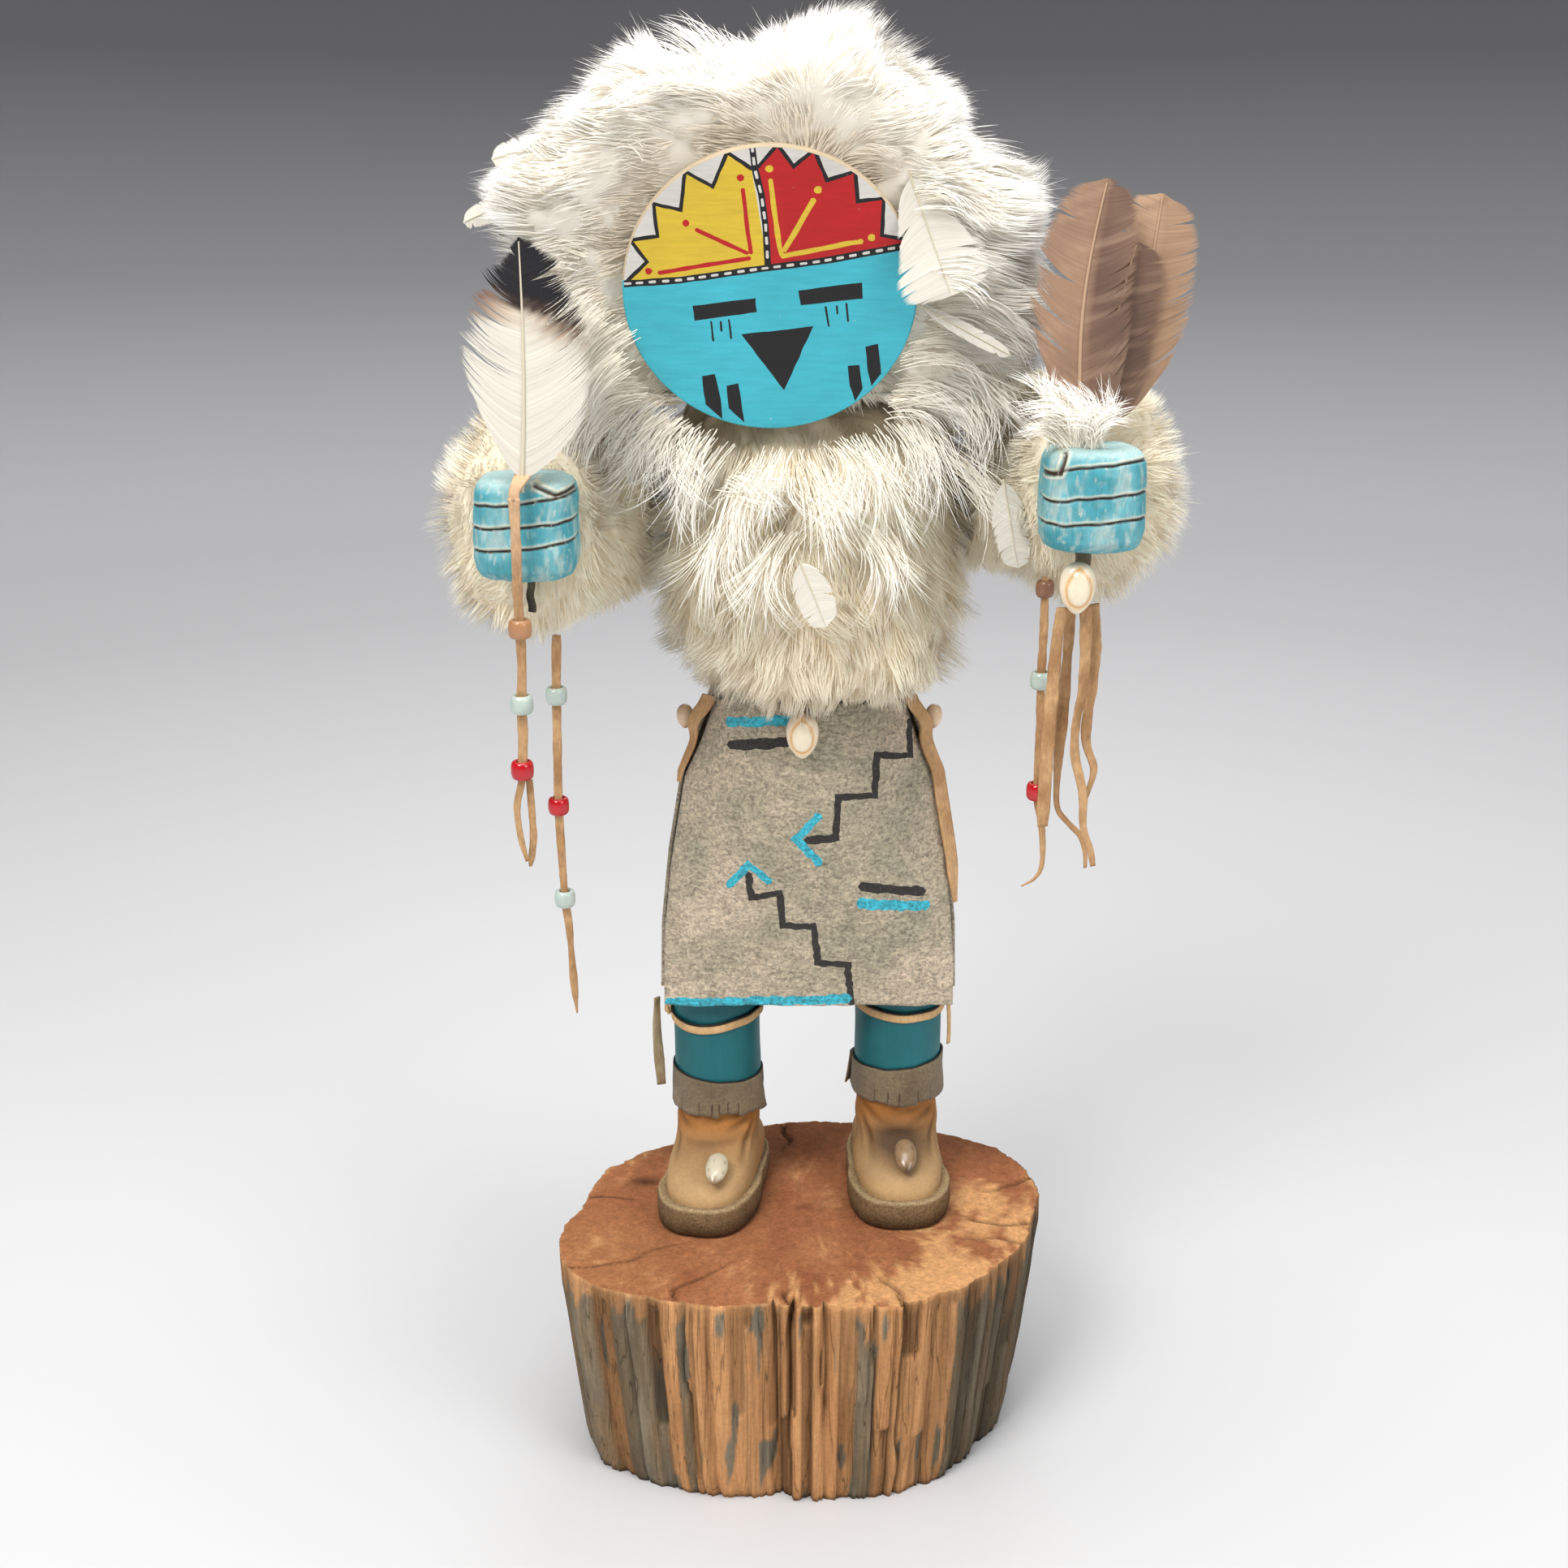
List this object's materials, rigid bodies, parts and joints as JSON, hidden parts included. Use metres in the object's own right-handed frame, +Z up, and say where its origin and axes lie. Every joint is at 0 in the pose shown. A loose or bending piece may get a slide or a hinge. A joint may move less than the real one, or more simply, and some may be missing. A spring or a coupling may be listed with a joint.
{
  "type": "kachina doll",
  "caption": "Carved sun-mask kachina doll in white fur and a painted suede kilt, holding feathers and beaded thongs, standing on a slice of rough log.",
  "frame": {"origin": "on the log slice's flat underside, near its middle, where the part rests", "axes": "+Z up, the doll faces -Y, +X to the viewer's right; left and right in node names are the viewer's"},
  "size_m": [0.2517, 0.1641, 0.5241],
  "materials": {
    "wood": "rough split and sawn",
    "grey_suede": "napped suede",
    "tan_leather": "matte",
    "white_fur": "long fur",
    "white_down": "fur and down",
    "teal_paint": "painted",
    "mask_paint": "painted",
    "hand_paint": "worn paint",
    "shell": "natural shell",
    "dark_tie": "matte",
    "bead_white": "milky glass",
    "bead_red": "glossy glass",
    "bead_tan": "semi-gloss",
    "white_feather": "feather",
    "brown_feather": "feather"
  },
  "bodies": {
    "root": {"log_base": "wood", "boot_sole_left": "grey_suede", "boot_sole_right": "grey_suede", "boot_upper_left": "tan_leather", "boot_upper_right": "tan_leather", "boot_shell_left": "shell", "boot_shell_right": "shell", "leg_left": "teal_paint", "leg_right": "teal_paint", "boot_cuff_left": "grey_suede", "boot_cuff_right": "grey_suede", "knee_thong_left": "tan_leather", "knee_thong_right": "tan_leather", "knee_thong_tail_left": "tan_leather", "hip_strap_left": "tan_leather", "hip_strap_right": "tan_leather", "hip_shell_left": "shell", "hip_shell_right": "shell", "fur_sleeve_left": "white_fur", "fur_sleeve_right": "white_fur", "fist_left": "hand_paint", "fist_right": "hand_paint", "hand_tie_left": "dark_tie", "hand_tie_right": "dark_tie", "kilt_front": "grey_suede", "kilt_back": "grey_suede", "kilt_cowrie": "shell", "fur_torso": "white_fur", "headdress": "white_down", "mask_disc": "mask_paint", "feather_black_tipped": "white_feather", "feather_brown_front": "brown_feather", "feather_brown_middle": "brown_feather", "feather_brown_back": "brown_feather", "thong_left_front": "tan_leather", "thong_left_front_loop": "tan_leather", "thong_left_back": "tan_leather", "thong_right_back": "tan_leather", "strap_right_wide": "tan_leather", "strap_right_curled": "tan_leather", "strap_right_wavy": "tan_leather", "strap_right_outer": "tan_leather", "bead_left_front_tan": "bead_tan", "bead_left_front_white": "bead_white", "bead_left_front_red": "bead_red", "bead_left_back_white_upper": "bead_white", "bead_left_back_red": "bead_red", "bead_left_back_white_lower": "bead_white", "bead_right_back_brown": "bead_tan", "bead_right_back_white": "bead_white", "bead_right_back_red": "bead_red", "hand_cowrie_right": "shell"}
  },
  "joints": []
}
